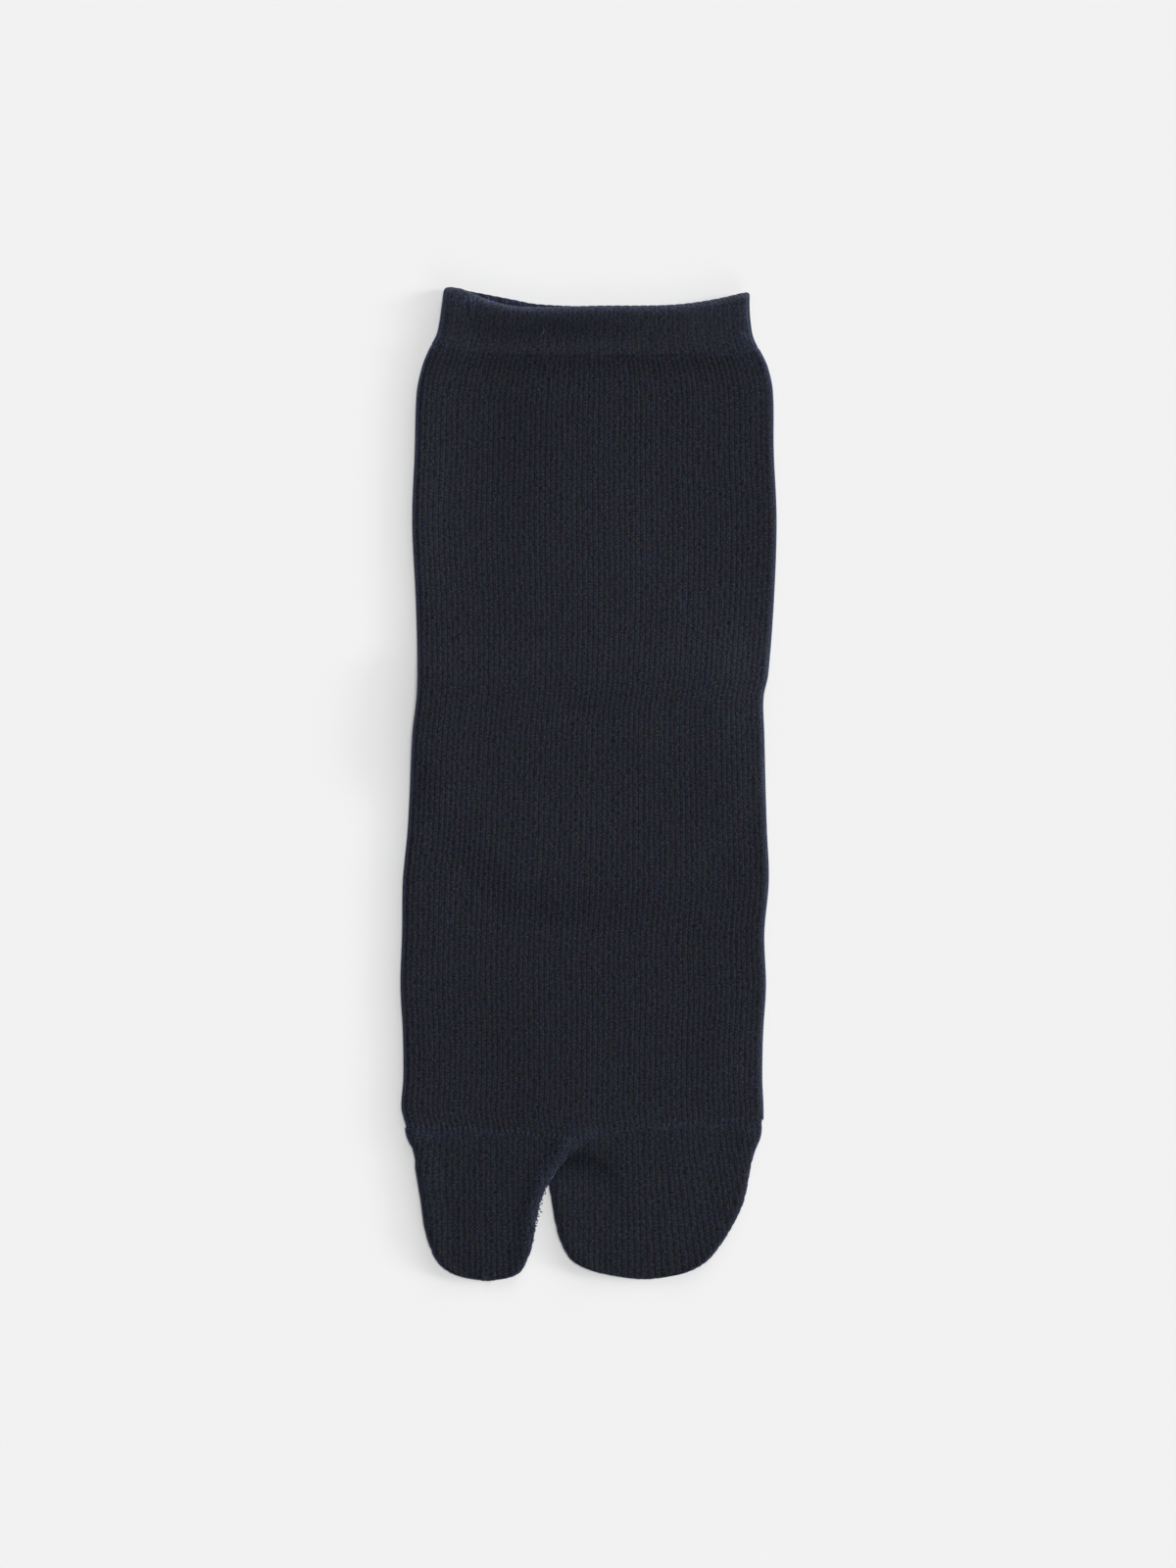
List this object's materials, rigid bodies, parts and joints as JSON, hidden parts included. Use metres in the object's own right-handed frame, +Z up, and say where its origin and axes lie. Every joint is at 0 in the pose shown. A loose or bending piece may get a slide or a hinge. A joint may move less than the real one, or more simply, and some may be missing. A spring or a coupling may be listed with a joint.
{
  "type": "tabi sock",
  "caption": "Short split-toe knitted sock laid flat, instep up, with a doubled welt cuff, a heel cup folded under the foot, a big toe pocket and a four toe pocket.",
  "frame": {"origin": "middle of the sock's outline in plan, on the surface it lies on", "axes": "+Z up from the surface, -Y towards the toes, +Y towards the cuff, +X towards the little toe"},
  "size_m": [0.0916, 0.2428, 0.0067],
  "materials": {
    "cuff_knit": "matte fine cotton knit, dark navy charcoal",
    "body_knit": "matte fine cotton knit, dark navy charcoal",
    "toe_knit": "matte fine cotton knit, dark navy charcoal"
  },
  "bodies": {
    "root": {"cuff_band": "cuff_knit", "leg_foot_tube": "body_knit", "heel_pocket": "body_knit", "big_toe_pocket": "toe_knit", "four_toe_pocket": "toe_knit"}
  },
  "joints": []
}
